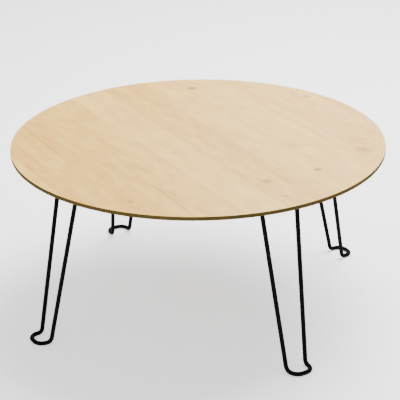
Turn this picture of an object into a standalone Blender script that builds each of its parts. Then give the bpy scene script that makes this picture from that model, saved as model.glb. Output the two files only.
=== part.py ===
"""Round folding camping table.

A thin laminated board stands on four bent-wire legs. Each leg turns in a stamped bracket that is
screwed under the board, and folds in towards the middle. The origin is on the floor under the
middle of the board, +Z is up, and lengths are in metres.
"""
import math

import bmesh
import bpy
from mathutils import Matrix, Vector

# Board
TOP_DIAMETER = 0.600
TABLE_HEIGHT = 0.281
LAMINATE_THICKNESS = 0.0007
CORE_THICKNESS = 0.0044
BACKING_THICKNESS = 0.0005
BAND_THICKNESS = 0.0010
EDGE_ROUNDING = 0.0002
GLUE_LINE = 0.0002
RIM_SEGMENTS = 96

# Wire legs
WIRE_DIAMETER = 0.007
HINGE_RADIUS = 0.231        # middle of the table to a leg's hinge line
HINGE_DROP = 0.012          # underside of the board to the hinge line
FOOT_RADIUS = 0.285         # middle of the table to where a rod meets the floor wire
ROD_SPREAD_TOP = 0.064      # between the two rods at the hinge line
ROD_SPREAD_FOOT = 0.035     # between the two rods at the floor
LOOP_REACH = 0.0225         # foot loop, outward from the rods
HINGE_BEND = 0.007          # bend radii, on the wire's centre line
FOOT_BEND = 0.008
LOOP_BEND = 0.0145
PIN_STICK_OUT = 0.003       # wire end outside the bracket ear
WIRE_SIDES_RESOLUTION = 4
BEND_STEPS = 5

# Brackets
SHEET = 0.0015
SHEET_BEND_INSIDE = 0.0015
PLATE_BACK = 0.036          # from the hinge line towards the middle of the table
EAR_BACK = 0.022
NECK_BACK = 0.013
EAR_FRONT = 0.008           # from the hinge line towards the rim
SHOULDER_DROP = 0.004       # from the hinge line down
STOP_TOP = 0.006
STOP_BOTTOM = 0.014
EAR_BOTTOM = 0.018
PLATE_CORNER = 0.006
EAR_CORNER = 0.004
STOP_CORNER = 0.002
DETENT_RADIUS = 0.0046
DETENT_ALONG_ROD = 0.010
SHEET_BEND_STEPS = 3
SHEET_CORNER_STEPS = 3
HINGE_HOLE_SEGMENTS = 12
DETENT_SEGMENTS = 12

# Screws
SCREW_DIAMETER = 0.003
SCREW_HEAD_DIAMETER = 0.006
SCREW_HEAD_HEIGHT = 0.0018
SCREW_HEAD_RIM = 0.0006
SCREW_BITE = 0.0034         # length in the core board
SCREW_POINT = 0.0010
SCREW_BACK = 0.030          # from the hinge line towards the middle of the table
SCREW_FRONT = 0.006
SCREW_SPREAD = 0.044
SCREW_STEPS = 10
HEAD_DOME_STEPS = 2
SCREW_HOLE_SEGMENTS = 8

# Fits
CLEARANCE = 0.0003
SEAT_GAP = 0.0002
EAR_PLAY = 0.0005
MERGE_DISTANCE = 0.00001

# Values worked out from the sizes above
BOARD_THICKNESS = LAMINATE_THICKNESS + CORE_THICKNESS + BACKING_THICKNESS + 2 * GLUE_LINE
UNDERSIDE = TABLE_HEIGHT - BOARD_THICKNESS
HINGE_HEIGHT = UNDERSIDE - HINGE_DROP
LAMINATE_BOTTOM = TABLE_HEIGHT - LAMINATE_THICKNESS
CORE_BOTTOM = UNDERSIDE + BACKING_THICKNESS + GLUE_LINE
CORE_RADIUS = TOP_DIAMETER / 2 - BAND_THICKNESS - GLUE_LINE
WIRE_RADIUS = WIRE_DIAMETER / 2
ROD_SPLAY = math.atan2(FOOT_RADIUS - HINGE_RADIUS, HINGE_HEIGHT - WIRE_RADIUS)
EAR_INSIDE = ROD_SPREAD_TOP / 2 + HINGE_BEND + EAR_PLAY
EAR_MIDDLE = EAR_INSIDE + SHEET / 2
SHEET_BEND = SHEET_BEND_INSIDE + SHEET / 2
LEG_DIRECTIONS = {"front_left": 225, "front_right": 315, "back_right": 45, "back_left": 135}


def make_collection(name):
    collection = bpy.data.collections.new(name)
    bpy.context.scene.collection.children.link(collection)
    return collection


def make_material(name, colour, roughness, metallic):
    material = bpy.data.materials.new(name)
    material.use_nodes = True
    shader = material.node_tree.nodes["Principled BSDF"]
    shader.inputs["Base Color"].default_value = (*colour, 1.0)
    shader.inputs["Roughness"].default_value = roughness
    shader.inputs["Metallic"].default_value = metallic
    return material


def add_part(name, data, material, parent=None):
    part = bpy.data.objects.new(name, data)
    parts.objects.link(part)
    if not data.materials:
        data.materials.append(material)
    part.parent = parent
    return part


def add_cutter(name, bm):
    mesh = bpy.data.meshes.new(name)
    bm.to_mesh(mesh)
    bm.free()
    cutter = bpy.data.objects.new(name, mesh)
    cutters.objects.link(cutter)
    cutter.hide_render = True
    cutter.display_type = "WIRE"
    return cutter


def add_boolean(target, cutter, operation):
    boolean = target.modifiers.new(cutter.name, "BOOLEAN")
    boolean.operation = operation
    boolean.solver = "EXACT"
    boolean.object = cutter


def add_edge_rounding(target):
    bevel = target.modifiers.new("edge_rounding", "BEVEL")
    bevel.width = EDGE_ROUNDING
    bevel.segments = 1
    bevel.limit_method = "ANGLE"
    bevel.angle_limit = math.radians(60)


def add_cylinder(bm, radius, start, end, segments):
    """Add a closed cylinder between two points."""
    along = end - start
    turn = along.to_track_quat("Z", "Y").to_matrix().to_4x4()
    bmesh.ops.create_cone(
        bm,
        cap_ends=True,
        segments=segments,
        radius1=radius,
        radius2=radius,
        depth=along.length,
        matrix=Matrix.Translation((start + end) / 2) @ turn,
    )


# Board: a core with a laminate above, a backing below and a band round its edge
def make_disc(name, radius, bottom, thickness, material):
    mesh = bpy.data.meshes.new(name)
    bm = bmesh.new()
    bmesh.ops.create_cone(
        bm, cap_ends=True, segments=RIM_SEGMENTS, radius1=radius, radius2=radius, depth=thickness
    )
    bm.to_mesh(mesh)
    bm.free()
    disc = add_part(name, mesh, material)
    disc.location.z = bottom + thickness / 2
    return disc


def make_edge_band(material):
    """A flat strip glued round the core, as a turned profile with its outer corners broken."""
    outside = TOP_DIAMETER / 2
    inside = outside - BAND_THICKNESS
    top = LAMINATE_BOTTOM - GLUE_LINE
    bm = bmesh.new()
    rounded = outside - EDGE_ROUNDING
    profile = [
        (rounded, top),
        (outside, top - EDGE_ROUNDING),
        (outside, UNDERSIDE + EDGE_ROUNDING),
        (rounded, UNDERSIDE),
        (inside, UNDERSIDE),
        (inside, top),
    ]
    corners = [bm.verts.new((across, 0, height)) for across, height in profile]
    for index, corner in enumerate(corners):
        bm.edges.new((corner, corners[(index + 1) % len(corners)]))
    mesh = bpy.data.meshes.new("edge_band")
    bm.to_mesh(mesh)
    bm.free()
    band = add_part("edge_band", mesh, material)
    turn = band.modifiers.new("turned", "SCREW")
    turn.steps = RIM_SEGMENTS
    turn.render_steps = RIM_SEGMENTS
    turn.use_merge_vertices = True
    turn.merge_threshold = MERGE_DISTANCE


def screw_places():
    """Screw positions on one bracket, from its hinge line: towards the rim, and along the hinge."""
    for along in (-SCREW_BACK, -SCREW_FRONT):
        for side in (-1, 1):
            yield Vector((along, side * SCREW_SPREAD / 2, 0))


def cut_pilot_holes(core, backing):
    """Blind holes in the core, open through the backing, at every screw."""
    bm = bmesh.new()
    radius = SCREW_DIAMETER / 2 + CLEARANCE
    below = UNDERSIDE - BACKING_THICKNESS
    above = CORE_BOTTOM + SCREW_BITE + CLEARANCE
    for degrees in LEG_DIRECTIONS.values():
        turn = Matrix.Rotation(math.radians(degrees), 3, "Z")
        for place in screw_places():
            spot = turn @ (place + Vector((HINGE_RADIUS, 0, 0)))
            start = Vector((spot.x, spot.y, below))
            end = Vector((spot.x, spot.y, above))
            add_cylinder(bm, radius, start, end, SCREW_HOLE_SEGMENTS)
    pilot_holes = add_cutter("pilot_holes", bm)
    add_boolean(core, pilot_holes, "DIFFERENCE")
    add_boolean(backing, pilot_holes, "DIFFERENCE")


# Wire leg: one rod bent out at both ends to turn in the bracket, and folded into a foot loop
def rounded_path(corners, bends):
    """Points along a path through corners, with each inner corner turned into an arc."""
    points = [corners[0]]
    for before, corner, after, bend in zip(corners, corners[1:], corners[2:], bends):
        arrive = (corner - before).normalized()
        leave = (after - corner).normalized()
        turn = arrive.angle(leave)
        start = corner - arrive * bend * math.tan(turn / 2)
        towards_centre = (leave - arrive * arrive.dot(leave)).normalized()
        centre = start + towards_centre * bend
        axis = arrive.cross(leave).normalized()
        for step in range(BEND_STEPS + 1):
            swing = Matrix.Rotation(turn * step / BEND_STEPS, 3, axis)
            points.append(centre + swing @ (start - centre))
    points.append(corners[-1])
    return points


def make_leg_curve():
    """The leg's wire, with its origin on the hinge line, +X towards the rim and +Y along the hinge."""
    floor_wire = WIRE_RADIUS - HINGE_HEIGHT
    foot_out = FOOT_RADIUS - HINGE_RADIUS
    pin_end = EAR_INSIDE + SHEET + PIN_STICK_OUT
    half = [
        Vector((0, -pin_end, 0)),
        Vector((0, -ROD_SPREAD_TOP / 2, 0)),
        Vector((foot_out, -ROD_SPREAD_FOOT / 2, floor_wire)),
        Vector((foot_out + LOOP_REACH, -ROD_SPREAD_FOOT / 2, floor_wire)),
    ]
    other_half = [Vector((corner.x, -corner.y, corner.z)) for corner in reversed(half)]
    loop_bend = min(LOOP_BEND, LOOP_REACH - FOOT_BEND, ROD_SPREAD_FOOT / 2)
    bends = [HINGE_BEND, FOOT_BEND, loop_bend]
    path = rounded_path(half + other_half, bends + bends[::-1])
    curve = bpy.data.curves.new("wire_leg", "CURVE")
    curve.dimensions = "3D"
    curve.bevel_depth = WIRE_RADIUS
    curve.bevel_resolution = WIRE_SIDES_RESOLUTION
    curve.use_fill_caps = True
    curve.twist_mode = "Z_UP"
    spline = curve.splines.new("POLY")
    spline.points.add(len(path) - 1)
    for point, place in zip(spline.points, path):
        point.co = (*place, 1.0)
    return curve


# Bracket: a steel sheet with two ears bent down, a stop bent in from each ear, and a pressed detent
def bend_sheet(bm, edges, centre, axis, angle):
    """Swing free edges round a bend line and return the edges at the far side of the bend."""
    bent = bmesh.ops.spin(
        bm, geom=edges, cent=centre, axis=axis, angle=angle, steps=SHEET_BEND_STEPS, use_merge=False
    )
    return [item for item in bent["geom_last"] if isinstance(item, bmesh.types.BMEdge)]


def pull_sheet(bm, edges, vector):
    """Lengthen the sheet from free edges and return the new free edges."""
    pulled = bmesh.ops.extrude_edge_only(bm, edges=edges)["geom"]
    fresh = {item for item in pulled if isinstance(item, bmesh.types.BMVert)}
    bmesh.ops.translate(bm, vec=vector, verts=list(fresh))
    edges = [item for item in pulled if isinstance(item, bmesh.types.BMEdge)]
    return [edge for edge in edges if set(edge.verts) <= fresh]


def round_corner(bm, place, radius):
    """Round the free corner of the sheet that lies nearest to a place."""
    corner = min(bm.verts, key=lambda vert: (vert.co - place).length)
    bmesh.ops.bevel(
        bm,
        geom=[corner],
        offset=radius,
        segments=SHEET_CORNER_STEPS,
        profile=0.5,
        affect="VERTICES",
        material=-1,
    )


def make_bracket_mesh():
    """Half of the sheet is shaped, then mirrored, thickened, embossed and drilled."""
    plate_z = HINGE_DROP - SEAT_GAP - SHEET / 2
    plate_side = EAR_MIDDLE - SHEET_BEND
    stop_inside = STOP_BOTTOM * math.tan(ROD_SPLAY) + WIRE_RADIUS / math.cos(ROD_SPLAY) + CLEARANCE
    neck_front = stop_inside + SHEET / 2 - SHEET_BEND
    stations = [-EAR_BACK, -NECK_BACK, neck_front, EAR_FRONT]

    bm = bmesh.new()
    outline = [Vector((-PLATE_BACK, 0, plate_z)), Vector((-PLATE_BACK, plate_side, plate_z))]
    outline += [Vector((along, plate_side, plate_z)) for along in stations]
    outline.append(Vector((EAR_FRONT, 0, plate_z)))
    plate = bm.faces.new([bm.verts.new(corner) for corner in outline])
    side_edges = [
        edge
        for edge in plate.edges
        if all(vert.co.y == outline[1].y and vert.co.x > -EAR_BACK - CLEARANCE for vert in edge.verts)
    ]

    # The ear, its neck below the hinge line, and the stop bent in from the neck's outer edge
    bend_centre = Vector((0, plate_side, plate_z - SHEET_BEND))
    ear_edges = bend_sheet(bm, side_edges, bend_centre, (-1, 0, 0), math.pi / 2)
    ear_edges = pull_sheet(bm, ear_edges, Vector((0, 0, -SHOULDER_DROP - bend_centre.z)))
    ear_edges.sort(key=lambda edge: edge.verts[0].co.x + edge.verts[1].co.x)
    neck_edges = ear_edges[1:2]
    for low, high in ((SHOULDER_DROP, STOP_TOP), (STOP_TOP, STOP_BOTTOM), (STOP_BOTTOM, EAR_BOTTOM)):
        neck_edges = pull_sheet(bm, neck_edges, Vector((0, 0, low - high)))
        if low == STOP_TOP:
            stop_edge = max(
                (side for side in neck_edges[0].link_faces[0].edges if side not in neck_edges),
                key=lambda side: min(vert.co.x for vert in side.verts),
            )
    stop_centre = Vector((neck_front, EAR_MIDDLE - SHEET_BEND, 0))
    stop_edges = bend_sheet(bm, [stop_edge], stop_centre, (0, 0, -1), math.pi / 2)
    stop_end = ROD_SPREAD_TOP / 2 - WIRE_DIAMETER
    stop_edges = pull_sheet(bm, stop_edges, Vector((0, stop_end - plate_side, 0)))
    stop_corners = [vert.co.copy() for vert in stop_edges[0].verts]

    round_corner(bm, outline[1], PLATE_CORNER)
    round_corner(bm, Vector((-EAR_BACK, EAR_MIDDLE, -SHOULDER_DROP)), EAR_CORNER)
    round_corner(bm, Vector((-NECK_BACK, EAR_MIDDLE, -EAR_BOTTOM)), EAR_CORNER)
    round_corner(bm, Vector((neck_front, EAR_MIDDLE, -EAR_BOTTOM)), STOP_CORNER)
    for corner in stop_corners:
        round_corner(bm, corner, STOP_CORNER)
    bmesh.ops.recalc_face_normals(bm, faces=bm.faces)
    mesh = bpy.data.meshes.new("bracket_half")
    bm.to_mesh(mesh)
    bm.free()

    blank = bpy.data.objects.new("bracket_blank", mesh)
    cutters.objects.link(blank)
    mirror = blank.modifiers.new("other_half", "MIRROR")
    mirror.use_axis = (False, True, False)
    mirror.merge_threshold = MERGE_DISTANCE
    sheet = blank.modifiers.new("sheet", "SOLIDIFY")
    sheet.thickness = SHEET
    sheet.offset = 0
    sheet.use_even_offset = True
    detents, openings = make_bracket_cutters()
    add_boolean(blank, detents, "UNION")
    add_boolean(blank, openings, "DIFFERENCE")
    finished = blank.evaluated_get(bpy.context.evaluated_depsgraph_get())
    bracket_mesh = bpy.data.meshes.new_from_object(finished)
    bracket_mesh.name = "bracket"
    bpy.data.objects.remove(blank)
    return bracket_mesh


def make_bracket_cutters():
    """The pressed detents, and the hinge holes, screw holes and hollow backs of the detents."""
    rod = Vector((math.sin(ROD_SPLAY), 0, -math.cos(ROD_SPLAY)))
    behind_rod = Vector((rod.z, 0, -rod.x))
    centre = rod * DETENT_ALONG_ROD + behind_rod * (WIRE_RADIUS + DETENT_RADIUS)
    lean = (ROD_SPREAD_TOP - ROD_SPREAD_FOOT) / 2 / (HINGE_HEIGHT - WIRE_RADIUS) * math.cos(ROD_SPLAY)
    rod_outside = ROD_SPREAD_TOP / 2 - lean * (centre.length - DETENT_RADIUS) + WIRE_RADIUS
    centre.y = rod_outside + CLEARANCE + DETENT_RADIUS

    detents = bmesh.new()
    openings = bmesh.new()
    ear_outside = EAR_INSIDE + SHEET + WIRE_DIAMETER
    start = Vector((0, -ear_outside, 0))
    end = Vector((0, ear_outside, 0))
    add_cylinder(openings, WIRE_RADIUS + CLEARANCE, start, end, HINGE_HOLE_SEGMENTS)
    for side in (-1, 1):
        place = Matrix.Translation((centre.x, side * centre.y, centre.z))
        dome = bmesh.ops.create_uvsphere(
            detents,
            u_segments=DETENT_SEGMENTS,
            v_segments=DETENT_SEGMENTS // 2,
            radius=DETENT_RADIUS,
            matrix=place,
        )
        dome_faces = {face for vert in dome["verts"] for face in vert.link_faces}
        dome_edges = {edge for vert in dome["verts"] for edge in vert.link_edges}
        cut = bmesh.ops.bisect_plane(
            detents,
            geom=dome["verts"] + list(dome_edges) + list(dome_faces),
            plane_co=(0, side * EAR_MIDDLE, 0),
            plane_no=(0, side, 0),
            clear_outer=True,
        )
        rim = [item for item in cut["geom_cut"] if isinstance(item, bmesh.types.BMEdge)]
        bmesh.ops.contextual_create(detents, geom=rim)
        bmesh.ops.create_uvsphere(
            openings,
            u_segments=DETENT_SEGMENTS,
            v_segments=DETENT_SEGMENTS // 2,
            radius=DETENT_RADIUS - SHEET,
            matrix=place,
        )
    bmesh.ops.recalc_face_normals(detents, faces=detents.faces)
    plate_above = Vector((0, 0, HINGE_DROP + SHEET))
    plate_below = Vector((0, 0, HINGE_DROP - 2 * SHEET - SEAT_GAP))
    for place in screw_places():
        radius = SCREW_DIAMETER / 2 + CLEARANCE
        add_cylinder(openings, radius, place + plate_below, place + plate_above, SCREW_HOLE_SEGMENTS)
    return add_cutter("bracket_detents", detents), add_cutter("bracket_openings", openings)


# Screw: a pan head under the bracket plate and a short pointed shank up into the core
def make_screw_mesh():
    """A turned profile with its origin at the seat of the head."""
    shank = SCREW_DIAMETER / 2
    head = SCREW_HEAD_DIAMETER / 2
    tip = CORE_BOTTOM - UNDERSIDE + SEAT_GAP + SHEET + SEAT_GAP + SCREW_BITE
    dome = SCREW_HEAD_HEIGHT - SCREW_HEAD_RIM
    profile = [(0, tip), (shank, tip - SCREW_POINT), (shank, 0), (head, 0), (head, -SCREW_HEAD_RIM)]
    for step in range(1, HEAD_DOME_STEPS + 1):
        angle = math.pi / 2 * step / HEAD_DOME_STEPS
        profile.append((head * math.cos(angle), -SCREW_HEAD_RIM - dome * math.sin(angle)))
    profile[-1] = (0, -SCREW_HEAD_HEIGHT)
    bm = bmesh.new()
    points = [bm.verts.new((across, 0, height)) for across, height in profile]
    edges = [bm.edges.new(pair) for pair in zip(points, points[1:])]
    bmesh.ops.spin(
        bm, geom=points + edges, axis=(0, 0, 1), angle=2 * math.pi, steps=SCREW_STEPS, use_merge=True
    )
    bmesh.ops.remove_doubles(bm, verts=bm.verts, dist=MERGE_DISTANCE)
    bmesh.ops.recalc_face_normals(bm, faces=bm.faces)
    mesh = bpy.data.meshes.new("screw")
    bm.to_mesh(mesh)
    bm.free()
    return mesh


for scene_object in list(bpy.data.objects):
    bpy.data.objects.remove(scene_object)
parts = make_collection("folding_camping_table")
cutters = make_collection("cutters")

wood = make_material("pale_wood_laminate", (0.76, 0.64, 0.46), 0.45, 0.0)
fibreboard = make_material("fibreboard", (0.42, 0.29, 0.17), 0.85, 0.0)
dark_paper = make_material("backing_paper", (0.16, 0.12, 0.08), 0.7, 0.0)
brown_edge = make_material("brown_edge_band", (0.15, 0.11, 0.05), 0.5, 0.0)
black_paint = make_material("black_painted_wire", (0.012, 0.012, 0.012), 0.4, 0.0)
bracket_paint = make_material("black_painted_sheet", (0.015, 0.015, 0.015), 0.5, 0.0)
zinc = make_material("zinc_plated_screw", (0.55, 0.56, 0.58), 0.35, 1.0)

laminate = make_disc(
    "top_laminate", TOP_DIAMETER / 2, LAMINATE_BOTTOM, LAMINATE_THICKNESS, wood
)
add_edge_rounding(laminate)
core_board = make_disc("core_board", CORE_RADIUS, CORE_BOTTOM, CORE_THICKNESS, fibreboard)
backing_sheet = make_disc("backing_sheet", CORE_RADIUS, UNDERSIDE, BACKING_THICKNESS, dark_paper)
make_edge_band(brown_edge)
cut_pilot_holes(core_board, backing_sheet)

leg_curve = make_leg_curve()
bracket_mesh = make_bracket_mesh()
screw_mesh = make_screw_mesh()
head_seat = HINGE_DROP - SEAT_GAP - SHEET - SEAT_GAP
for corner_name, degrees in LEG_DIRECTIONS.items():
    hinge = bpy.data.objects.new("hinge_" + corner_name, None)
    parts.objects.link(hinge)
    hinge.rotation_euler.z = math.radians(degrees)
    hinge.location = Matrix.Rotation(hinge.rotation_euler.z, 3, "Z") @ Vector((HINGE_RADIUS, 0, 0))
    hinge.location.z = HINGE_HEIGHT
    add_part("leg_" + corner_name, leg_curve, black_paint, hinge)
    add_part("bracket_" + corner_name, bracket_mesh, bracket_paint, hinge)
    for number, place in enumerate(screw_places(), start=1):
        screw = add_part(f"screw_{corner_name}_{number}", screw_mesh, zinc, hinge)
        screw.location = place + Vector((0, 0, head_seat))

for part in parts.objects:
    if part.type == "MESH":
        part.data.shade_smooth()
        part.data.set_sharp_from_angle(angle=math.radians(35))
bpy.context.view_layer.update()
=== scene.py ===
import math

import bmesh
import bpy
from mathutils import Matrix, Vector


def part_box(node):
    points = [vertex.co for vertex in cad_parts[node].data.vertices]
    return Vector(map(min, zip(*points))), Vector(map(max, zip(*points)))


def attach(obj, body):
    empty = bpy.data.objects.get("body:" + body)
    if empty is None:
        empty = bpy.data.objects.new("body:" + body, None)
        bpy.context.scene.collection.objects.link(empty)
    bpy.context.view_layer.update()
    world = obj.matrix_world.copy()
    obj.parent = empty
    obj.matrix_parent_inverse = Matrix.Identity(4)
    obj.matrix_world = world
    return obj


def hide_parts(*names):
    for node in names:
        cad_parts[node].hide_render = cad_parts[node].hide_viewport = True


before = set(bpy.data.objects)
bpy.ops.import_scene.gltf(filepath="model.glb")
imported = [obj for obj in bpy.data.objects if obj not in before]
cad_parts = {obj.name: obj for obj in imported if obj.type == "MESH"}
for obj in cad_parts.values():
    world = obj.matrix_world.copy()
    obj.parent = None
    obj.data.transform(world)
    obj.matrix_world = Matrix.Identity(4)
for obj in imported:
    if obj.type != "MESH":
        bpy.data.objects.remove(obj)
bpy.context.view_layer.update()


# Core board: a disc of pressed wood fibre that gives the top its stiffness. The other layers are glued
# to it and the bracket screws bite into it, so it only shows inside the screw holes.
NOISE_RANGE = (0.3, 0.7)
FIBRE_GRAIN = (0.003, 0.003, 0.0008)
FIBRE_PALE = (0.40, 0.27, 0.15, 1.0)
FIBRE_DARK = (0.24, 0.15, 0.08, 1.0)
FIBRE_ROUGHNESS = 0.88


def add_node(finish, kind, inputs=None, **options):
    """Add a shader node. An input is named by its identifier, and takes a value or another node's output."""
    node = finish.node_tree.nodes.new("ShaderNode" + kind)
    for option, value in options.items():
        setattr(node, option, value)
    sockets = {socket.identifier: socket for socket in node.inputs}
    for name, value in (inputs or {}).items():
        if isinstance(value, bpy.types.NodeSocket):
            finish.node_tree.links.new(value, sockets[name])
        else:
            sockets[name].default_value = value
    return node


def start_finish(name):
    """A new material, its shader, and the object's own coordinates to lay patterns on."""
    finish = bpy.data.materials.new(name)
    finish.use_nodes = True
    place = add_node(finish, "TexCoord").outputs["Object"]
    return finish, finish.node_tree.nodes["Principled BSDF"], place


def stretched_noise(finish, place, grain, detail=3.0, roughness=0.5):
    """Noise whose grains measure about grain (x, y, z) in metres."""
    stretch = add_node(
        finish, "Mapping", {"Vector": place, "Scale": tuple(1.0 / length for length in grain)}
    )
    noise = add_node(
        finish,
        "TexNoise",
        {"Vector": stretch.outputs["Vector"], "Scale": 1.0, "Detail": detail, "Roughness": roughness},
    )
    return noise.outputs["Fac"]


def blend_colours(finish, share, first, second):
    """Mix two colours, with share as the part of the second."""
    mixed = add_node(
        finish, "Mix", {"Factor_Float": share, "A_Color": first, "B_Color": second}, data_type="RGBA"
    )
    return next(end for end in mixed.outputs if end.identifier == "Result_Color")


def spread(finish, value, source, target=(0.0, 1.0)):
    """Stretch a value from its source range over a target range, and hold it at the ends."""
    mapped = add_node(
        finish,
        "MapRange",
        {
            "Value": value,
            "From Min": source[0],
            "From Max": source[1],
            "To Min": target[0],
            "To Max": target[1],
        },
        clamp=True,
    )
    return mapped.outputs["Result"]


def reckon(finish, first, operation, second=0.0):
    """Work out first and second with one arithmetic operation."""
    return add_node(
        finish, "Math", {"Value": first, "Value_001": second}, operation=operation
    ).outputs["Value"]


def paint(finish, shader, name, value):
    """Drive one of the shader's inputs with a pattern."""
    finish.node_tree.links.new(value, shader.inputs[name])


def add_bump(finish, shader, height, depth, strength):
    """Raise the surface by a pattern, up to depth in metres."""
    bump = add_node(finish, "Bump", {"Height": height, "Distance": depth, "Strength": strength})
    paint(finish, shader, "Normal", bump.outputs["Normal"])


def dress(node, finish):
    """Give a CAD node that stays in the picture its finish."""
    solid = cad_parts[node]
    solid.data.materials.clear()
    solid.data.materials.append(finish)


pressed_fibre, shader, place = start_finish("pressed_fibre")
fibres = stretched_noise(pressed_fibre, place, FIBRE_GRAIN, detail=4.0)
fibre_tone = spread(pressed_fibre, fibres, NOISE_RANGE)
paint(pressed_fibre, shader, "Base Color", blend_colours(pressed_fibre, fibre_tone, FIBRE_DARK, FIBRE_PALE))
shader.inputs["Roughness"].default_value = FIBRE_ROUGHNESS
add_bump(pressed_fibre, shader, fibres, depth=0.0003, strength=0.5)
dress("core_board", pressed_fibre)


# Backing sheet: thin brown paper soaked in resin, glued under the core so that the board, covered on
# one side only, doesn't cup. It is what shows when the table is turned over.
PAPER_CLOUD_GRAIN = (0.060, 0.060, 0.060)
PAPER_CLOUD_TONE = (0.0, 0.5)
PULP_GRAIN = (0.0040, 0.0007, 0.001)
PULP_TONE = (0.0, 0.5)
PAPER_PALE = (0.150, 0.105, 0.066, 1.0)
PAPER_DARK = (0.095, 0.066, 0.042, 1.0)
PAPER_ROUGHNESS = (0.68, 0.80)
PAPER_GLOSS = 0.12

backing_paper, shader, place = start_finish("backing_paper")
paper_cloud = stretched_noise(backing_paper, place, PAPER_CLOUD_GRAIN, detail=4.0)
pulp = stretched_noise(backing_paper, place, PULP_GRAIN)
paper_tone = reckon(
    backing_paper,
    spread(backing_paper, paper_cloud, NOISE_RANGE, PAPER_CLOUD_TONE),
    "ADD",
    spread(backing_paper, pulp, NOISE_RANGE, PULP_TONE),
)
paint(backing_paper, shader, "Base Color", blend_colours(backing_paper, paper_tone, PAPER_DARK, PAPER_PALE))
paint(backing_paper, shader, "Roughness", spread(backing_paper, pulp, NOISE_RANGE, PAPER_ROUGHNESS))
shader.inputs["Specular IOR Level"].default_value = PAPER_GLOSS
add_bump(backing_paper, shader, pulp, depth=0.0001, strength=0.3)
dress("backing_sheet", backing_paper)


# Edge band: a strip of olive-brown plastic, ironed round the board's edge and trimmed flush with it.
# Its corners are scraped round so that they don't cut the hand.
BAND_THICKNESS = 0.0010
BAND_ROUNDING = 0.0002
ROUNDING_STEPS = 2
SQUARE_CORNER = math.radians(60.0)
SMOOTH_CORNER = math.radians(40.0)
RIM_STEPS = 288
MERGE_DISTANCE = 0.000002
BAND_STREAK_GRAIN = (0.045, 0.045, 0.0009)
BAND_STREAK_TONE = (0.0, 0.6)
BAND_PATCH_GRAIN = (0.080, 0.080, 0.080)
BAND_PATCH_TONE = (0.0, 0.4)
BAND_PALE = (0.092, 0.064, 0.018, 1.0)
BAND_DARK = (0.046, 0.032, 0.009, 1.0)
BAND_ROUGHNESS = (0.52, 0.64)
BAND_GLOSS = 0.01


def turn_profile(profile, steps):
    """Turn a profile of (radius, height) points round the table's axis."""
    bm = bmesh.new()
    points = [bm.verts.new((radius, 0.0, height)) for radius, height in profile]
    edges = [bm.edges.new(pair) for pair in zip(points, points[1:])]
    bmesh.ops.spin(
        bm, geom=points + edges, cent=(0, 0, 0), axis=(0, 0, 1), angle=2 * math.pi, steps=steps,
        use_merge=True,
    )
    bmesh.ops.remove_doubles(bm, verts=bm.verts, dist=MERGE_DISTANCE)
    bmesh.ops.recalc_face_normals(bm, faces=bm.faces)
    return bm


def round_sharp_edges(bm, radius, sharper_than=SQUARE_CORNER):
    """Bevel every edge that turns by more than an angle."""
    sharp = [
        edge for edge in bm.edges
        if len(edge.link_faces) == 2 and edge.calc_face_angle() > sharper_than
    ]
    bmesh.ops.bevel(
        bm, geom=sharp, offset=radius, segments=ROUNDING_STEPS, profile=0.5, affect="EDGES", material=-1,
        clamp_overlap=True,
    )


def finish_piece(name, bm, finish):
    """Make an object of a mesh, shaded smooth where its faces meet at a low angle."""
    mesh = bpy.data.meshes.new(name)
    bm.to_mesh(mesh)
    bm.free()
    mesh.materials.append(finish)
    mesh.shade_smooth()
    mesh.set_sharp_from_angle(angle=SMOOTH_CORNER)
    piece = bpy.data.objects.new(name, mesh)
    bpy.context.scene.collection.objects.link(piece)
    return piece


olive_band, shader, place = start_finish("olive_band")
band_streaks = stretched_noise(olive_band, place, BAND_STREAK_GRAIN)
band_patches = stretched_noise(olive_band, place, BAND_PATCH_GRAIN, detail=2.0)
band_tone = reckon(
    olive_band,
    spread(olive_band, band_streaks, NOISE_RANGE, BAND_STREAK_TONE),
    "ADD",
    spread(olive_band, band_patches, NOISE_RANGE, BAND_PATCH_TONE),
)
paint(olive_band, shader, "Base Color", blend_colours(olive_band, band_tone, BAND_DARK, BAND_PALE))
paint(olive_band, shader, "Roughness", spread(olive_band, band_streaks, NOISE_RANGE, BAND_ROUGHNESS))
shader.inputs["Specular IOR Level"].default_value = BAND_GLOSS
add_bump(olive_band, shader, band_streaks, depth=0.0001, strength=0.2)

band_low, band_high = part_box("edge_band")
outside = band_high.x
inside = outside - BAND_THICKNESS
bm = turn_profile(
    [(inside, band_low.z), (outside, band_low.z), (outside, band_high.z), (inside, band_high.z),
     (inside, band_low.z)],
    RIM_STEPS,
)
round_sharp_edges(bm, BAND_ROUNDING)
edge_strip = finish_piece("edge_strip", bm, olive_band)
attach(edge_strip, "tabletop")
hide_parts("edge_band")


# Top laminate: a printed wood-grain sheet under a satin wear layer, pressed onto the core and trimmed
# with the band. The print shows pale planks of three staves each, with fine streaks, pores, knots and
# a few glue lines. The cut edge shows the sheet's dark paper core.
LAMINATE_ROUNDING = 0.0002
SUPPORT_RING = 0.0006
EDGE_DEPTH = 0.00025
GRAIN_DIRECTION = math.radians(-45.5)
STAVE_WIDTH = 0.0217
PLANK_WIDTH = 3 * STAVE_WIDTH
FIRST_JOINT = -0.0227
PLANK_SHIFT = 0.731
PLANK_SEED = 29482.0
STAVE_SEED = 9984.0
PLANK_TONE = 0.40
STAVE_TONE = 0.14
FIGURE_GRAIN = (0.180, 0.016, 0.05)
FIGURE_RANGE = (0.36, 0.64)
FIGURE_TONE = (-0.05, 0.07)
MOTTLE_GRAIN = (0.045, 0.020, 0.05)
MOTTLE_RANGE = (0.34, 0.66)
MOTTLE_TONE = (-0.14, 0.14)
STREAK_GRAIN = (0.060, 0.0022, 0.05)
STREAK_RANGE = (0.32, 0.68)
STREAK_TONE = (0.0, 0.34)
PORE_GRAIN = (0.0090, 0.0008, 0.05)
PORE_RANGE = (0.60, 0.72)
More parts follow.
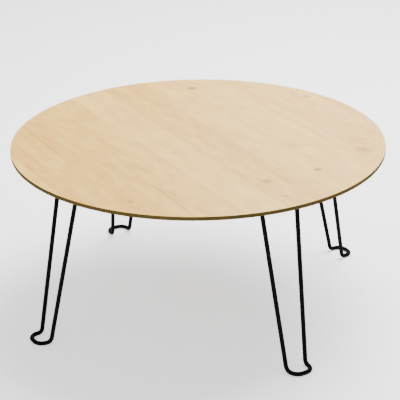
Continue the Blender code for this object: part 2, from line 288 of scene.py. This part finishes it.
PORE_SHARE = (0.0, 0.22)
FLECK_GRAIN = (0.0060, 0.0020, 0.05)
FLECK_RANGE = (0.72, 0.80)
FLECK_SHARE = (0.0, 0.45)
GLUE_GRAIN = (0.060, 0.060, 0.05)
GLUE_RANGE = (0.40, 0.65)
GLUE_SHARE = (0.0, 0.35)
JOINT_WIDTH = 0.0013
SEAM_WIDTH = 0.0020
SEAM_SWAY = (-0.0010, 0.0010)
RAGGED_GRAIN = (0.010, 0.006, 0.05)
KNOT_PULL = 0.70
KNOT_REACH = 3.0  # this and the next four count in half sizes of the knot
RAGGED_SWAY = (-0.20, 0.20)
HALO_FADE = (0.55, 1.00)
HEART_FADE = (0.20, 0.60)
RING_WIDTH = 0.09
RING_SHARE = (0.65, 1.0)
WOOD_PALE = (0.920, 0.590, 0.150, 1.0)
WOOD_MIDDLE = (0.600, 0.300, 0.040, 1.0)
WOOD_DARK = (0.430, 0.200, 0.040, 1.0)
JOINT_BROWN = (0.320, 0.155, 0.022, 1.0)
KNOT_HALO = (0.420, 0.215, 0.030, 1.0)
KNOT_HEART = (0.170, 0.075, 0.005, 1.0)
EDGE_BROWN = (0.058, 0.040, 0.011, 1.0)
SATIN_ROUGHNESS = (0.36, 0.44)
EDGE_ROUGHER_BY = 0.40
WOOD_GLOSS = 0.30
SEAMS = [  # glue lines that show: number of the stave edge, middle along the grain, half length, strength
    (-11, -0.080, 0.070, 0.45),
    (-9, -0.120, 0.080, 0.65),
    (-6, 0.180, 0.080, 0.65),
    (0, 0.175, 0.110, 0.35),
    (10, 0.100, 0.100, 0.30),
]
KNOTS = [  # place on the top, half length along the grain, half width, strength of halo and of heart
    ((0.266, 0.014), 0.0200, 0.0145, 0.62, 0.15),
    ((0.208, -0.082), 0.0105, 0.0105, 0.30, 1.00),
    ((0.153, 0.008), 0.0200, 0.0120, 0.24, 0.20),
    ((0.141, -0.145), 0.0150, 0.0120, 0.28, 0.60),
    ((0.134, 0.241), 0.0130, 0.0110, 0.28, 0.45),
    ((-0.072, 0.241), 0.0155, 0.0135, 0.45, 0.80),
    ((0.257, 0.059), 0.0060, 0.0120, 0.42, 0.00),
    ((-0.223, 0.087), 0.0200, 0.0140, 0.30, 0.00),
    ((-0.035, -0.261), 0.0110, 0.0080, 0.22, 0.45),
    ((0.179, -0.192), 0.0100, 0.0060, 0.22, 0.45),
]

wood_print, shader, place = start_finish("wood_print")
turned = add_node(
    wood_print, "Mapping", {"Vector": place, "Rotation": (0.0, 0.0, -GRAIN_DIRECTION)}
).outputs["Vector"]
grain_axes = add_node(wood_print, "SeparateXYZ", {"Vector": turned})
along = grain_axes.outputs["X"]
across = grain_axes.outputs["Y"]


def count_strips(width):
    """How many strips of a width lie between the first joint and here."""
    return reckon(wood_print, reckon(wood_print, across, "SUBTRACT", FIRST_JOINT), "DIVIDE", width)


def own_tone(strip, seed):
    """The tone that a strip has to itself, from 0 to 1, drawn by its number."""
    draw = reckon(wood_print, strip, "ADD", seed)
    return add_node(wood_print, "TexWhiteNoise", {"W": draw}, noise_dimensions="1D").outputs["Value"]


def length_of(vector):
    """The length of a vector, as a distance from where it is zero."""
    return add_node(wood_print, "VectorMath", {"Vector": vector}, operation="LENGTH").outputs["Value"]


# Each plank has its own stretch of the figure
plank_count = count_strips(PLANK_WIDTH)
plank = reckon(wood_print, plank_count, "FLOOR")
stave = reckon(wood_print, count_strips(STAVE_WIDTH), "FLOOR")
plank_along = reckon(wood_print, along, "ADD", reckon(wood_print, plank, "MULTIPLY", PLANK_SHIFT))

# The streaks part at each knot and flow round it
flowing_across = across
knot_distances = []
for knot_spot, knot_length, knot_width, _, _ in KNOTS:
    knot_centre = Matrix.Rotation(-GRAIN_DIRECTION, 2) @ Vector(knot_spot)
    knot_place = add_node(
        wood_print,
        "Mapping",
        {
            "Vector": turned,
            "Location": (-knot_centre.x / knot_length, -knot_centre.y / knot_width, 0.0),
            "Scale": (1.0 / knot_length, 1.0 / knot_width, 0.0),
        },
    )
    from_knot = length_of(knot_place.outputs["Vector"])
    knot_distances.append(from_knot)
    aside = reckon(wood_print, across, "SUBTRACT", knot_centre.y)
    pull = spread(wood_print, from_knot, (0.0, KNOT_REACH), (KNOT_PULL, 0.0))
    pushed = reckon(wood_print, aside, "MULTIPLY", pull)
    flowing_across = reckon(wood_print, flowing_across, "SUBTRACT", pushed)
plank_place = add_node(
    wood_print, "CombineXYZ", {"X": plank_along, "Y": flowing_across}
).outputs["Vector"]

# Tones of the bare wood, from the broad figure down to the pores
figure = stretched_noise(wood_print, plank_place, FIGURE_GRAIN)
mottle = stretched_noise(wood_print, plank_place, MOTTLE_GRAIN, detail=2.0)
streaks = stretched_noise(wood_print, plank_place, STREAK_GRAIN, detail=4.0, roughness=0.6)
tone = spread(wood_print, figure, FIGURE_RANGE, FIGURE_TONE)
for layer in (
    spread(wood_print, mottle, MOTTLE_RANGE, MOTTLE_TONE),
    spread(wood_print, streaks, STREAK_RANGE, STREAK_TONE),
    reckon(wood_print, own_tone(plank, PLANK_SEED), "MULTIPLY", PLANK_TONE),
    reckon(wood_print, own_tone(stave, STAVE_SEED), "MULTIPLY", STAVE_TONE),
):
    tone = reckon(wood_print, tone, "ADD", layer)
colour = blend_colours(wood_print, tone, WOOD_MIDDLE, WOOD_PALE)
pores = stretched_noise(wood_print, plank_place, PORE_GRAIN, detail=2.0)
colour = blend_colours(wood_print, spread(wood_print, pores, PORE_RANGE, PORE_SHARE), colour, WOOD_DARK)
flecks = stretched_noise(wood_print, plank_place, FLECK_GRAIN, detail=1.0)
colour = blend_colours(wood_print, spread(wood_print, flecks, FLECK_RANGE, FLECK_SHARE), colour, KNOT_HALO)

# Faint lines between the planks, and the few glue lines that show clearly
glue = stretched_noise(wood_print, turned, GLUE_GRAIN, detail=2.0)
from_joint = reckon(wood_print, plank_count, "PINGPONG", 0.5)
joint = reckon(
    wood_print,
    spread(wood_print, from_joint, (0.0, JOINT_WIDTH / PLANK_WIDTH), (1.0, 0.0)),
    "MULTIPLY",
    spread(wood_print, glue, GLUE_RANGE, GLUE_SHARE),
)
colour = blend_colours(wood_print, joint, colour, JOINT_BROWN)
for stave_edge, seam_middle, seam_reach, seam_strength in SEAMS:
    beside = reckon(wood_print, across, "SUBTRACT", FIRST_JOINT + stave_edge * STAVE_WIDTH)
    beside = reckon(wood_print, beside, "ADD", spread(wood_print, glue, NOISE_RANGE, SEAM_SWAY))
    from_seam = reckon(wood_print, beside, "ABSOLUTE")
    from_middle = reckon(wood_print, reckon(wood_print, along, "SUBTRACT", seam_middle), "ABSOLUTE")
    seam = reckon(
        wood_print,
        spread(wood_print, from_seam, (0.0, SEAM_WIDTH), (seam_strength, 0.0)),
        "MULTIPLY",
        spread(wood_print, from_middle, (seam_reach / 2, seam_reach), (1.0, 0.0)),
    )
    colour = blend_colours(wood_print, seam, colour, JOINT_BROWN)

# Knots: a dark heart in a paler halo, both ringed
ragged = stretched_noise(wood_print, turned, RAGGED_GRAIN, detail=2.0)
for from_knot, (_, _, _, halo_strength, heart_strength) in zip(knot_distances, KNOTS):
    knot_edge = reckon(wood_print, from_knot, "ADD", spread(wood_print, ragged, NOISE_RANGE, RAGGED_SWAY))
    from_ring = reckon(wood_print, knot_edge, "PINGPONG", RING_WIDTH)
    rings = spread(wood_print, from_ring, (0.0, RING_WIDTH), RING_SHARE)
    halo = spread(wood_print, knot_edge, HALO_FADE, (halo_strength, 0.0))
    colour = blend_colours(wood_print, reckon(wood_print, halo, "MULTIPLY", rings), colour, KNOT_HALO)
    heart = spread(wood_print, knot_edge, HEART_FADE, (heart_strength, 0.0))
    colour = blend_colours(wood_print, reckon(wood_print, heart, "MULTIPLY", rings), colour, KNOT_HEART)

# The cut edge is darker and rougher than the wear layer
laminate_low, laminate_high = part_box("top_laminate")
laminate_radius = laminate_high.x
from_axis = length_of(add_node(wood_print, "CombineXYZ", {"X": along, "Y": across}).outputs["Vector"])
cut_edge = spread(
    wood_print, from_axis, (laminate_radius - EDGE_DEPTH, laminate_radius - LAMINATE_ROUNDING / 2)
)
satin = spread(wood_print, streaks, NOISE_RANGE, SATIN_ROUGHNESS)
raw_edge = reckon(wood_print, cut_edge, "MULTIPLY", EDGE_ROUGHER_BY)
paint(wood_print, shader, "Base Color", blend_colours(wood_print, cut_edge, colour, EDGE_BROWN))
paint(wood_print, shader, "Roughness", reckon(wood_print, satin, "ADD", raw_edge))
shader.inputs["Specular IOR Level"].default_value = WOOD_GLOSS
add_bump(wood_print, shader, streaks, depth=0.0001, strength=0.15)

bm = turn_profile(
    [(0.0, laminate_low.z), (laminate_radius - SUPPORT_RING, laminate_low.z),
     (laminate_radius, laminate_low.z), (laminate_radius, laminate_high.z),
     (laminate_radius - SUPPORT_RING, laminate_high.z), (0.0, laminate_high.z)],
    RIM_STEPS,
)
round_sharp_edges(bm, LAMINATE_ROUNDING)
wood_top = finish_piece("wood_top", bm, wood_print)
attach(wood_top, "tabletop")
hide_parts("top_laminate")


# Hinge brackets: stamped from one steel sheet each, with two ears bent down for the wire ends, a stop
# folded in from each ear and a pressed bump that keeps the open leg from swinging. Painted black.
LEG_CORNERS = {"front_left": 225, "front_right": 315, "back_right": 45, "back_left": 135}  # degrees
SHEET_ROUNDING = 0.00025
SHEET_CORNER = math.radians(50.0)
SHEET_FLAT = math.radians(0.5)
SHEET_MERGE_DISTANCE = 0.00001
SHEET_PEEL_GRAIN = (0.0016, 0.0016, 0.0016)
HANDLING_GRAIN = (0.012, 0.012, 0.012)
HANDLING_RANGE = (0.45, 0.75)
BRACKET_BLACK = (0.0060, 0.0060, 0.0063, 1.0)
BRACKET_WORN = (0.0160, 0.0155, 0.0150, 1.0)
BRACKET_ROUGHNESS = (0.44, 0.58)
BRACKET_GLOSS = 0.06

sheet_paint, shader, place = start_finish("sheet_paint")
sheet_peel = stretched_noise(sheet_paint, place, SHEET_PEEL_GRAIN, detail=2.0)
handling = stretched_noise(sheet_paint, place, HANDLING_GRAIN, detail=4.0)
worn = spread(sheet_paint, handling, HANDLING_RANGE)
paint(sheet_paint, shader, "Base Color", blend_colours(sheet_paint, worn, BRACKET_BLACK, BRACKET_WORN))
paint(sheet_paint, shader, "Roughness", spread(sheet_paint, handling, NOISE_RANGE, BRACKET_ROUGHNESS))
shader.inputs["Specular IOR Level"].default_value = BRACKET_GLOSS
add_bump(sheet_paint, shader, sheet_peel, depth=0.0001, strength=0.25)

for corner in LEG_CORNERS:
    bm = bmesh.new()
    bm.from_mesh(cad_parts["bracket_" + corner].data)
    bmesh.ops.remove_doubles(bm, verts=bm.verts, dist=SHEET_MERGE_DISTANCE)
    bmesh.ops.dissolve_limit(
        bm, angle_limit=SHEET_FLAT, use_dissolve_boundaries=False, verts=bm.verts, edges=bm.edges
    )
    round_sharp_edges(bm, SHEET_ROUNDING, SHEET_CORNER)
    bracket = finish_piece("stamped_bracket_" + corner, bm, sheet_paint)
    even_shading = bracket.modifiers.new("even_shading", "WEIGHTED_NORMAL")
    even_shading.keep_sharp = True
    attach(bracket, "tabletop")
    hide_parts("bracket_" + corner)


# Screws: short zinc-plated pan heads with a cross recess, four to a bracket, driven up through the plate
# into the core.
SCREWS_PER_BRACKET = 4
SCREW_STEPS = 24
HEAD_RADIUS = 0.0030
HEAD_HEIGHT = 0.0018
HEAD_RIM = 0.0006
HEAD_DOME_STEPS = 6
SHANK_RADIUS = 0.0015
SHANK_POINT = 0.0010
RECESS_REACH = 0.0017
RECESS_WIDTH = 0.0007
RECESS_DEPTH = 0.0011
BLUSH_GRAIN = (0.004, 0.004, 0.004)
BLUSH_RANGE = (0.35, 0.65)
ZINC_PALE = (0.620, 0.630, 0.650, 1.0)
ZINC_STRAW = (0.560, 0.540, 0.480, 1.0)
ZINC_ROUGHNESS = (0.26, 0.42)

zinc_plate, shader, place = start_finish("zinc_plate")
blush = stretched_noise(zinc_plate, place, BLUSH_GRAIN)
straw = spread(zinc_plate, blush, BLUSH_RANGE)
paint(zinc_plate, shader, "Base Color", blend_colours(zinc_plate, straw, ZINC_PALE, ZINC_STRAW))
paint(zinc_plate, shader, "Roughness", spread(zinc_plate, blush, NOISE_RANGE, ZINC_ROUGHNESS))
shader.inputs["Metallic"].default_value = 1.0


def make_screw(low, high):
    """One screw between its lowest and highest points, point up."""
    seat = low.z + HEAD_HEIGHT
    profile = [(0.0, high.z), (SHANK_RADIUS, high.z - SHANK_POINT), (SHANK_RADIUS, seat),
               (HEAD_RADIUS, seat), (HEAD_RADIUS, seat - HEAD_RIM)]
    dome = HEAD_HEIGHT - HEAD_RIM
    for step in range(1, HEAD_DOME_STEPS):
        angle = math.pi / 2 * step / HEAD_DOME_STEPS
        profile.append((HEAD_RADIUS * math.cos(angle), seat - HEAD_RIM - dome * math.sin(angle)))
    profile.append((0.0, low.z))
    screw = turn_profile(profile, SCREW_STEPS)
    middle = (low + high) / 2
    bmesh.ops.translate(screw, vec=(middle.x, middle.y, 0.0), verts=screw.verts)
    return screw


def cut_recess(piece, low, high):
    """Cut the cross for the driver into the head."""
    cross = bmesh.new()
    middle = (low + high) / 2
    for reach, width in ((RECESS_REACH, RECESS_WIDTH / 2), (RECESS_WIDTH / 2, RECESS_REACH)):
        size = Matrix.Diagonal((2 * reach, 2 * width, 2 * RECESS_DEPTH, 1.0))
        bmesh.ops.create_cube(
            cross, size=1.0, matrix=Matrix.Translation((middle.x, middle.y, low.z)) @ size
        )
    mesh = bpy.data.meshes.new("driver_cross")
    cross.to_mesh(mesh)
    cross.free()
    cutter = bpy.data.objects.new("driver_cross", mesh)
    bpy.context.scene.collection.objects.link(cutter)
    recess = piece.modifiers.new("recess", "BOOLEAN")
    recess.operation = "DIFFERENCE"
    recess.solver = "EXACT"
    recess.use_self = True
    recess.object = cutter
    cut = bpy.data.meshes.new_from_object(piece.evaluated_get(bpy.context.evaluated_depsgraph_get()))
    piece.modifiers.clear()
    piece.data = cut
    bpy.data.objects.remove(cutter)


for corner in LEG_CORNERS:
    for number in range(1, SCREWS_PER_BRACKET + 1):
        node = f"screw_{corner}_{number}"
        low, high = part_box(node)
        screw = finish_piece("pan_" + node, make_screw(low, high), zinc_plate)
        cut_recess(screw, low, high)
        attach(screw, "tabletop")
        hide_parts(node)


# Wire legs: one black-painted steel rod each, bent out at both ends to turn in the bracket's ears, run
# down as two converging rods and folded flat on the floor into a foot loop.
WIRE_DIAMETER = 0.007
WIRE_SIDES = 20
WIRE_BEND_STEPS = 10
WIRE_END_ROUNDING = 0.0006
HINGE_RADIUS = 0.231
HINGE_HEIGHT = 0.263
FOOT_RADIUS = 0.285
ROD_SPREAD_TOP = 0.064
ROD_SPREAD_FOOT = 0.035
LOOP_REACH = 0.0225
PIN_END = 0.044
HINGE_BEND = 0.007
FOOT_BEND = 0.008
LOOP_BEND = 0.0145
WIRE_PEEL_GRAIN = (0.0014, 0.0014, 0.0014)
RUBBING_GRAIN = (0.020, 0.020, 0.020)
RUBBING_RANGE = (0.40, 0.75)
WIRE_BLACK = (0.0024, 0.0024, 0.0026, 1.0)
WIRE_GREY = (0.0055, 0.0055, 0.0055, 1.0)
WIRE_ROUGHNESS = (0.44, 0.58)
WIRE_GLOSS = 0.020

wire_paint, shader, place = start_finish("wire_paint")
wire_peel = stretched_noise(wire_paint, place, WIRE_PEEL_GRAIN, detail=2.0)
rubbing = stretched_noise(wire_paint, place, RUBBING_GRAIN, detail=4.0)
rubbed = spread(wire_paint, rubbing, RUBBING_RANGE)
paint(wire_paint, shader, "Base Color", blend_colours(wire_paint, rubbed, WIRE_BLACK, WIRE_GREY))
paint(wire_paint, shader, "Roughness", spread(wire_paint, rubbing, NOISE_RANGE, WIRE_ROUGHNESS))
shader.inputs["Specular IOR Level"].default_value = WIRE_GLOSS
add_bump(wire_paint, shader, wire_peel, depth=0.0001, strength=0.25)


def push_wire(bm, edges, vector):
    """Lengthen the wire from its open end, and return the new open end."""
    pushed = bmesh.ops.extrude_edge_only(bm, edges=edges)["geom"]
    fresh = {item for item in pushed if isinstance(item, bmesh.types.BMVert)}
    bmesh.ops.translate(bm, vec=vector, verts=list(fresh))
    return [item for item in pushed if isinstance(item, bmesh.types.BMEdge) and set(item.verts) <= fresh]


def draw_wire(corners, bends):
    """Push a round wire through corners, bending it at each inner one to that bend's radius."""
    bm = bmesh.new()
    heading = (corners[1] - corners[0]).normalized()
    bmesh.ops.create_circle(
        bm,
        cap_ends=False,
        segments=WIRE_SIDES,
        radius=WIRE_DIAMETER / 2,
        matrix=Matrix.Translation(corners[0]) @ heading.to_track_quat("Z", "Y").to_matrix().to_4x4(),
    )
    edges = list(bm.edges)
    here = corners[0]
    for corner, after, bend in zip(corners[1:], corners[2:], bends):
        arrive = (corner - here).normalized()
        leave = (after - corner).normalized()
        turn = arrive.angle(leave)
        start = corner - arrive * bend * math.tan(turn / 2)
        edges = push_wire(bm, edges, start - here)
        to_centre = (leave - arrive * arrive.dot(leave)).normalized()
        bent = bmesh.ops.spin(
            bm, geom=edges, cent=start + to_centre * bend, axis=arrive.cross(leave).normalized(),
            angle=turn, steps=WIRE_BEND_STEPS, use_merge=False,
        )
        edges = [item for item in bent["geom_last"] if isinstance(item, bmesh.types.BMEdge)]
        here = corner + leave * bend * math.tan(turn / 2)
    push_wire(bm, edges, corners[-1] - here)
    bmesh.ops.remove_doubles(bm, verts=bm.verts, dist=MERGE_DISTANCE)
    bmesh.ops.holes_fill(bm, edges=bm.edges, sides=WIRE_SIDES)
    bmesh.ops.recalc_face_normals(bm, faces=bm.faces)
    round_sharp_edges(bm, WIRE_END_ROUNDING)
    return bm


wire_floor = WIRE_DIAMETER / 2 - HINGE_HEIGHT
wire_half = [
    Vector((0.0, -PIN_END, 0.0)),
    Vector((0.0, -ROD_SPREAD_TOP / 2, 0.0)),
    Vector((FOOT_RADIUS - HINGE_RADIUS, -ROD_SPREAD_FOOT / 2, wire_floor)),
    Vector((FOOT_RADIUS - HINGE_RADIUS + LOOP_REACH, -ROD_SPREAD_FOOT / 2, wire_floor)),
]
wire_corners = wire_half + [Vector((corner.x, -corner.y, corner.z)) for corner in reversed(wire_half)]
wire_bends = [HINGE_BEND, FOOT_BEND, LOOP_BEND, LOOP_BEND, FOOT_BEND, HINGE_BEND]
for corner, degrees in LEG_CORNERS.items():
    bm = draw_wire(wire_corners, wire_bends)
    bmesh.ops.transform(
        bm,
        matrix=Matrix.Rotation(math.radians(degrees), 4, "Z")
        @ Matrix.Translation((HINGE_RADIUS, 0.0, HINGE_HEIGHT)),
        verts=bm.verts,
    )
    leg = finish_piece("wire_leg_" + corner, bm, wire_paint)
    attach(leg, corner + "_leg")
    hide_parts("leg_" + corner)


# Studio: a wide pale floor that glows a little, white surroundings, and large soft lamps above, behind
# and in front of the table.
FLOOR_SIZE = 30.0
FLOOR_CLOUD_GRAIN = (1.5, 1.5, 1.5)
FLOOR_PALE = (0.96, 0.96, 0.96, 1.0)
FLOOR_SHADE = (0.93, 0.93, 0.93, 1.0)
FLOOR_ROUGHNESS = 0.9
FLOOR_GLOW = 0.8
ROOM_WHITE = (1.0, 1.0, 1.0, 1.0)
ROOM_STRENGTH = 0.8
LAMP_WHITE = (1.0, 1.0, 1.0)
LAMPS = [  # name, place, aim, width and power
    ("lamp_above", (0.4, 0.9, 2.2), (0.0, 0.0, 0.2), 1.8, 135.0),
    ("lamp_back", (-0.10, 2.5, 1.3), (0.0, 0.0, 0.28), 1.2, 14.0),
    ("lamp_front", (-1.2, -2.4, 2.4), (0.0, 0.0, 0.15), 2.0, 25.0),
]

pale_floor, shader, place = start_finish("pale_floor")
floor_cloud = stretched_noise(pale_floor, place, FLOOR_CLOUD_GRAIN, detail=2.0)
paint(pale_floor, shader, "Base Color", blend_colours(pale_floor, floor_cloud, FLOOR_SHADE, FLOOR_PALE))
shader.inputs["Roughness"].default_value = FLOOR_ROUGHNESS
shader.inputs["Emission Color"].default_value = ROOM_WHITE
shader.inputs["Emission Strength"].default_value = FLOOR_GLOW
bm = bmesh.new()
bmesh.ops.create_grid(bm, x_segments=1, y_segments=1, size=FLOOR_SIZE / 2)
studio_floor = finish_piece("studio_floor", bm, pale_floor)

room = bpy.data.worlds.new("white_room")
room.use_nodes = True
room.node_tree.nodes["Background"].inputs["Color"].default_value = ROOM_WHITE
room.node_tree.nodes["Background"].inputs["Strength"].default_value = ROOM_STRENGTH
bpy.context.scene.world = room
for name, stand, aim, width, power in LAMPS:
    lamp = bpy.data.lights.new(name, "AREA")
    lamp.shape = "DISK"
    lamp.size = width
    lamp.energy = power
    lamp.color = LAMP_WHITE
    lamp_object = bpy.data.objects.new(name, lamp)
    lamp_object.location = stand
    lamp_object.rotation_euler = (Vector(aim) - Vector(stand)).to_track_quat("-Z", "Y").to_euler()
    bpy.context.scene.collection.objects.link(lamp_object)


# Camera: a long lens from the front and a little to the right, looking down at the table, as in the
# photograph.
CAMERA_PLACE = (0.4948, -1.9363, 1.0594)
CAMERA_DOWN = math.radians(23.888)
CAMERA_TURN = math.radians(14.274)
CAMERA_ROLL = math.radians(-0.643)
CAMERA_LENS = 119.81
CAMERA_SENSOR = 36.0

view = bpy.data.cameras.new("photo_view")
view.sensor_width = CAMERA_SENSOR
view.lens = CAMERA_LENS
camera = bpy.data.objects.new("photo_view", view)
camera.location = CAMERA_PLACE
camera.rotation_euler = (
    Matrix.Rotation(CAMERA_TURN, 3, "Z")
    @ Matrix.Rotation(math.pi / 2 - CAMERA_DOWN, 3, "X")
    @ Matrix.Rotation(CAMERA_ROLL, 3, "Z")
).to_euler()
bpy.context.scene.collection.objects.link(camera)
bpy.context.scene.camera = camera
